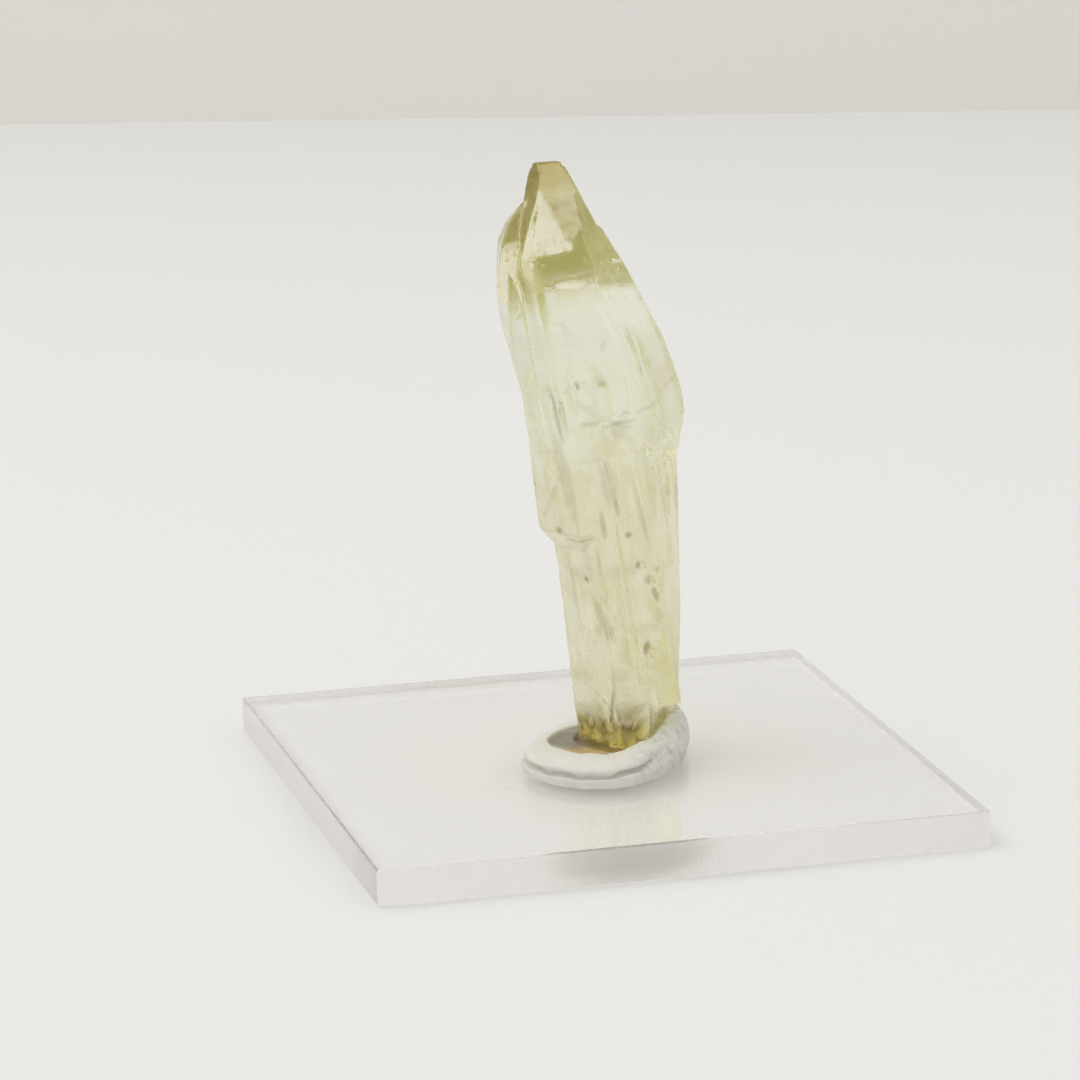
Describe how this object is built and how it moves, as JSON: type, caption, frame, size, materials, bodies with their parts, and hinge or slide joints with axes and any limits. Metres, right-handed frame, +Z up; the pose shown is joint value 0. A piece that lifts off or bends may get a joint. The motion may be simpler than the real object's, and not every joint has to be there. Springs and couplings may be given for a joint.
{
  "type": "heliodor crystal specimen",
  "caption": "Pale yellow-green etched heliodor crystal that leans in a pad of mineral putty on a clear acrylic display square.",
  "frame": {"origin": "middle of the acrylic square's underside, which is the bottom centre of the whole object's box", "axes": "+Z up from the square; -Y is the square's front edge, seen a little from the left in the picture; +X to the right"},
  "size_m": [0.05, 0.05, 0.0526],
  "materials": {
    "clear_acrylic": "clear, polished faces",
    "white_putty": "matte, finger-pressed",
    "heliodor": "see-through, etched faces"
  },
  "bodies": {
    "root": {"acrylic_base": "clear_acrylic", "mounting_putty": "white_putty", "heliodor_crystal": "heliodor"}
  },
  "joints": []
}
